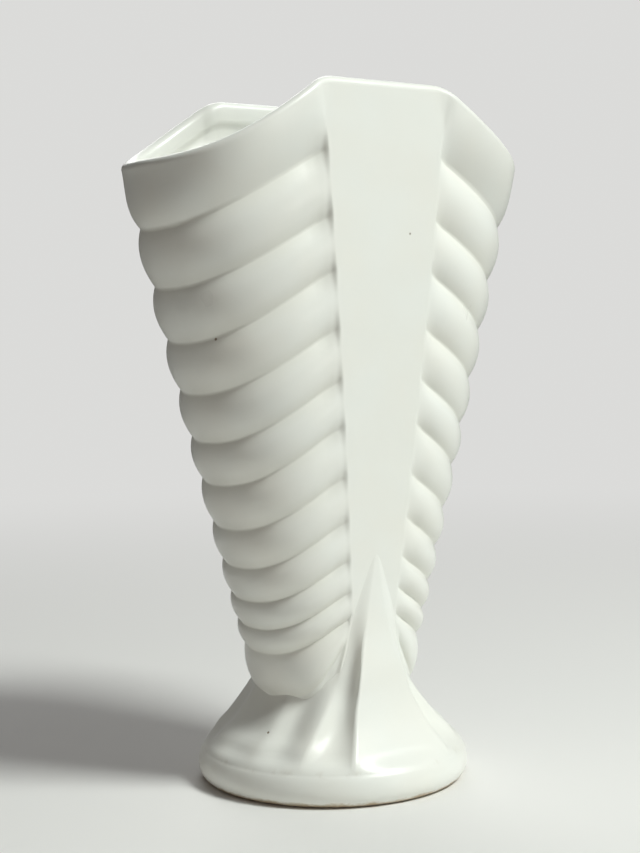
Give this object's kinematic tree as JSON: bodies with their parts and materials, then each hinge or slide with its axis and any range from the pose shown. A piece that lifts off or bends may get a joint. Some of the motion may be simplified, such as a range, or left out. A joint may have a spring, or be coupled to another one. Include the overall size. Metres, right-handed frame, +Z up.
{
  "type": "fan vase",
  "caption": "Ribbed ceramic fan vase: swooping wide mouth, drooping ribs beside smooth tapering panels, on a round flared and fluted foot with a thick ring.",
  "frame": {"origin": "on the table, under the middle of the foot", "axes": "+Z up, the vase's height; X across the fan from end to end; Y through the two panels, the front panel facing -Y"},
  "size_m": [0.1426, 0.092, 0.2294],
  "materials": {
    "satin_glaze_body": "satin matte white glaze over cast earthenware",
    "satin_glaze_foot": "satin matte white glaze over cast earthenware",
    "bare_clay": "fired, unglazed clay slip"
  },
  "bodies": {
    "root": {"fan_body": "satin_glaze_body", "pedestal_foot": "satin_glaze_foot", "luting_slip": "bare_clay"}
  },
  "joints": []
}
